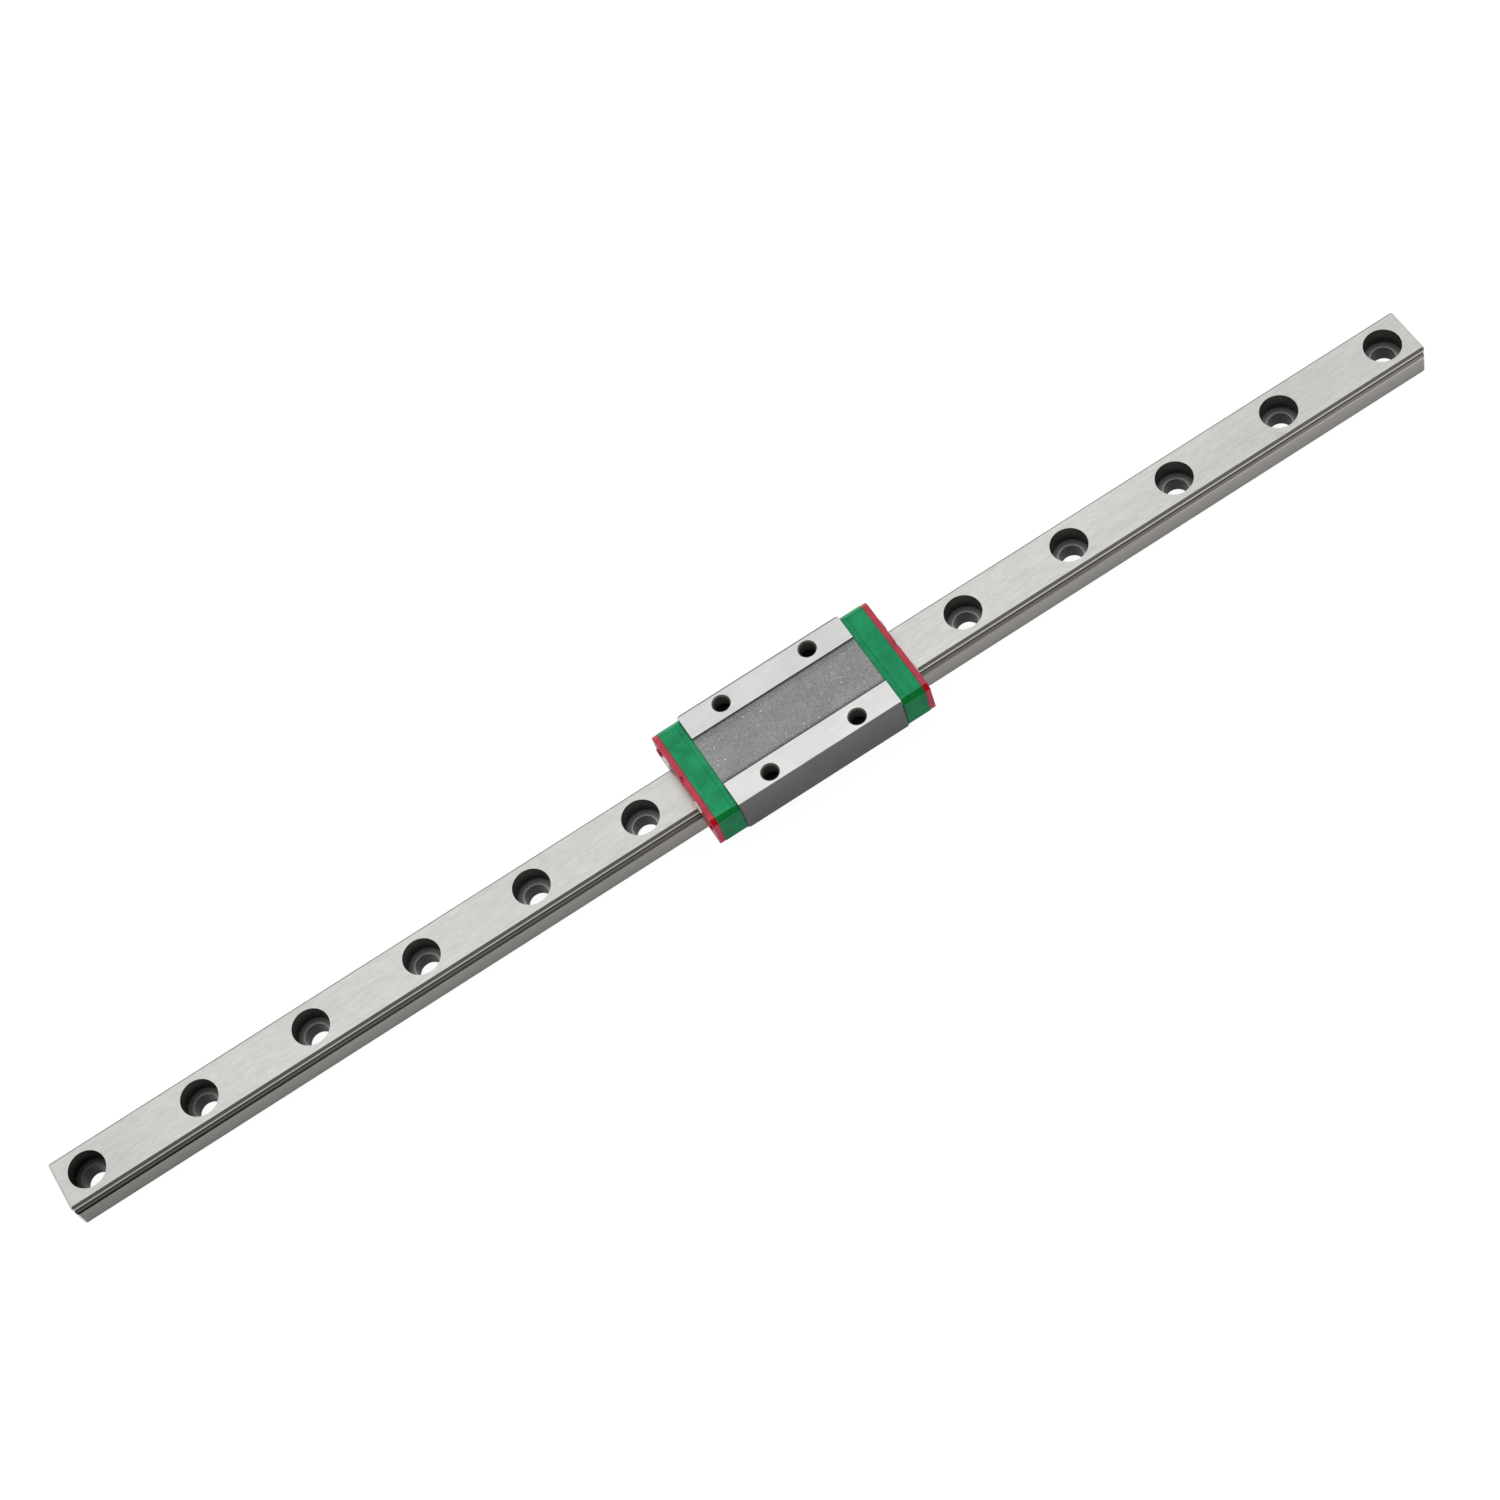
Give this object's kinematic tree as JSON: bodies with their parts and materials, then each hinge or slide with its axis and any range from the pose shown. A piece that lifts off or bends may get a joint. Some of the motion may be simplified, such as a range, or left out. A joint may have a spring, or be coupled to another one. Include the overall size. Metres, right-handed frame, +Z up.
{
  "type": "linear guide rail with block",
  "caption": "Miniature linear guide: a slim steel rail with sunk screw holes and a ball block with green end caps and red seals that slides along it.",
  "frame": {"origin": "centre of the rail's base", "axes": "+X along the rail, +Y across it, +Z up from the base through the block's top"},
  "size_m": [0.25, 0.02, 0.01],
  "materials": {
    "rail_steel": "satin",
    "block_steel": "satin",
    "cap_green": "satin",
    "seal_red": "satin",
    "screw_steel": "polished",
    "ball_steel": "polished"
  },
  "bodies": {
    "rail": {"rail": "rail_steel"},
    "carriage": {"block_body": "block_steel", "end_cap_left": "cap_green", "end_cap_right": "cap_green", "end_seal_left": "seal_red", "end_seal_right": "seal_red", "end_screw_near_left": "screw_steel", "end_screw_near_right": "screw_steel", "end_screw_far_left": "screw_steel", "end_screw_far_right": "screw_steel", "ball_circuit_near": "ball_steel", "ball_circuit_far": "ball_steel"}
  },
  "joints": [
    {"name": "block_slide", "type": "slide", "parent": "rail", "child": "carriage", "axis": [1, 0, 0], "range_m": [-0.113, 0.0965]}
  ]
}
